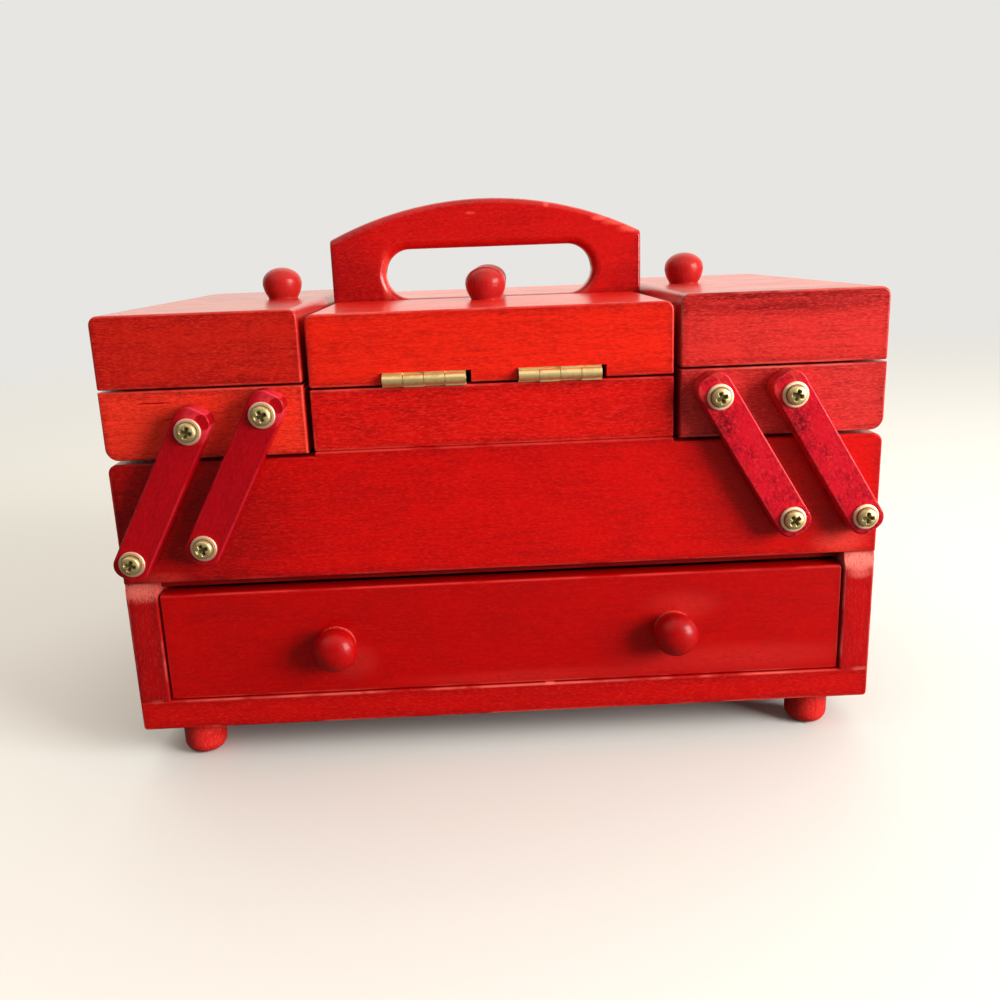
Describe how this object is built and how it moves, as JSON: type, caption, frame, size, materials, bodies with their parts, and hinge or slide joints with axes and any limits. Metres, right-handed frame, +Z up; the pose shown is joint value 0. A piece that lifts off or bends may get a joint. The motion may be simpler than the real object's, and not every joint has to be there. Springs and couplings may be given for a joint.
{
  "type": "cantilever sewing box",
  "caption": "Red stained wooden sewing carrier with swing-out lidded side trays, a lidded middle part under an arched grip board, and a drawer on round feet.",
  "frame": {"origin": "on the ground, under the middle of the closed box's outer limits", "axes": "+X to the right along the box's width, +Y to the back, +Z up"},
  "size_m": [0.296, 0.2002, 0.2166],
  "materials": {
    "base_wood": "red stained wood, satin lacquer",
    "box_wood": "red stained wood, satin lacquer",
    "tray_wood": "red stained wood, satin lacquer",
    "lid_wood": "red stained wood, gloss lacquer",
    "arm_wood": "crimson stained wood, gloss lacquer",
    "knob_wood": "red stained turned wood, gloss lacquer",
    "handle_wood": "red stained wood, gloss lacquer",
    "inner_wood": "red stained wood, thin lacquer",
    "screw_brass": "polished brass",
    "washer_brass": "polished brass",
    "hinge_brass": "polished brass, slightly dulled",
    "pin_brass": "drawn brass wire"
  },
  "bodies": {
    "carcass": {"feet": "base_wood", "base_bottom_board": "base_wood", "base_side_panels": "base_wood", "base_back_board": "inner_wood", "deck_board": "box_wood", "main_front_board": "box_wood", "main_back_board": "box_wood", "main_end_boards": "box_wood", "centre_front_board": "box_wood", "centre_back_board": "box_wood", "centre_side_walls": "inner_wood", "handle_board": "handle_wood", "centre_hinge_leaves": "hinge_brass", "centre_hinge_pins": "pin_brass", "low_pivot_screws": "screw_brass", "low_pivot_washers": "washer_brass"},
    "drawer": {"drawer_front": "base_wood", "drawer_sides": "inner_wood", "drawer_back": "inner_wood", "drawer_bottom": "inner_wood", "drawer_knobs": "knob_wood"},
    "front_lid": {"front_lid_long_walls": "lid_wood", "front_lid_end_walls": "lid_wood", "front_lid_top": "lid_wood", "front_lid_knob": "knob_wood", "front_lid_hinge_leaves": "hinge_brass"},
    "rear_lid": {"rear_lid_long_walls": "lid_wood", "rear_lid_end_walls": "lid_wood", "rear_lid_top": "lid_wood", "rear_lid_knob": "knob_wood", "rear_lid_hinge_leaves": "hinge_brass"},
    "left_inner_arms": {"left_inner_arms": "arm_wood"},
    "left_outer_arms": {"left_outer_arms": "arm_wood"},
    "left_tray": {"left_tray_long_walls": "tray_wood", "left_tray_end_walls": "tray_wood", "left_tray_floor": "inner_wood", "left_tray_hinge_leaves": "hinge_brass", "left_tray_hinge_pins": "pin_brass", "left_tray_screws": "screw_brass", "left_tray_washers": "washer_brass"},
    "left_tray_lid": {"left_tray_lid_long_walls": "lid_wood", "left_tray_lid_end_walls": "lid_wood", "left_tray_lid_top": "lid_wood", "left_tray_lid_knob": "knob_wood", "left_tray_lid_hinge_leaves": "hinge_brass"},
    "right_inner_arms": {"right_inner_arms": "arm_wood"},
    "right_outer_arms": {"right_outer_arms": "arm_wood"},
    "right_tray": {"right_tray_long_walls": "tray_wood", "right_tray_end_walls": "tray_wood", "right_tray_floor": "inner_wood", "right_tray_hinge_leaves": "hinge_brass", "right_tray_hinge_pins": "pin_brass", "right_tray_screws": "screw_brass", "right_tray_washers": "washer_brass"},
    "right_tray_lid": {"right_tray_lid_long_walls": "lid_wood", "right_tray_lid_end_walls": "lid_wood", "right_tray_lid_top": "lid_wood", "right_tray_lid_knob": "knob_wood", "right_tray_lid_hinge_leaves": "hinge_brass"}
  },
  "joints": [
    {"name": "drawer_slide", "type": "slide", "parent": "carcass", "child": "drawer", "axis": [0, -1, 0], "range_m": [0, 0.12]},
    {"name": "front_lid_hinge", "type": "hinge", "parent": "carcass", "child": "front_lid", "pos_m": [-0.0014, -0.08772, 0.15005], "axis": [1, 0, 0], "range_deg": [0, 180]},
    {"name": "rear_lid_hinge", "type": "hinge", "parent": "carcass", "child": "rear_lid", "pos_m": [-0.0014, 0.08828, 0.15005], "axis": [-1, 0, 0], "range_deg": [0, 180]},
    {"name": "left_inner_arm_swing", "type": "hinge", "parent": "carcass", "child": "left_inner_arms", "pos_m": [-0.1106, 0.00027, 0.0919], "axis": [0, -1, 0], "range_deg": [0, 56.2]},
    {"name": "left_outer_arm_swing", "type": "hinge", "parent": "carcass", "child": "left_outer_arms", "pos_m": [-0.1376, 0.00027, 0.087], "axis": [0, -1, 0], "range_deg": [0, 56.2]},
    {"name": "left_tray_pivot", "type": "hinge", "parent": "left_inner_arms", "child": "left_tray", "pos_m": [-0.0846, 0.00027, 0.14059], "axis": [0, -1, 0], "range_deg": [-56.2, 0]},
    {"name": "left_tray_lid_hinge", "type": "hinge", "parent": "left_tray", "child": "left_tray_lid", "pos_m": [-0.146, 0.00027, 0.15235], "axis": [0, -1, 0], "range_deg": [0, 180]},
    {"name": "right_inner_arm_swing", "type": "hinge", "parent": "carcass", "child": "right_inner_arms", "pos_m": [0.1092, 0.00027, 0.0931], "axis": [0, 1, 0], "range_deg": [0, 62.2]},
    {"name": "right_outer_arm_swing", "type": "hinge", "parent": "carcass", "child": "right_outer_arms", "pos_m": [0.1367, 0.00027, 0.0929], "axis": [0, 1, 0], "range_deg": [0, 62.2]},
    {"name": "right_tray_pivot", "type": "hinge", "parent": "right_inner_arms", "child": "right_tray", "pos_m": [0.08069, 0.00027, 0.14037], "axis": [0, 1, 0], "range_deg": [-62.2, 0]},
    {"name": "right_tray_lid_hinge", "type": "hinge", "parent": "right_tray", "child": "right_tray_lid", "pos_m": [0.146, 0.00027, 0.15235], "axis": [0, 1, 0], "range_deg": [0, 180]}
  ],
  "couplings": [
    {"joint": "left_outer_arm_swing", "follows": "left_inner_arm_swing", "ratio": 1},
    {"joint": "left_tray_pivot", "follows": "left_inner_arm_swing", "ratio": -1},
    {"joint": "right_outer_arm_swing", "follows": "right_inner_arm_swing", "ratio": 1},
    {"joint": "right_tray_pivot", "follows": "right_inner_arm_swing", "ratio": -1}
  ]
}
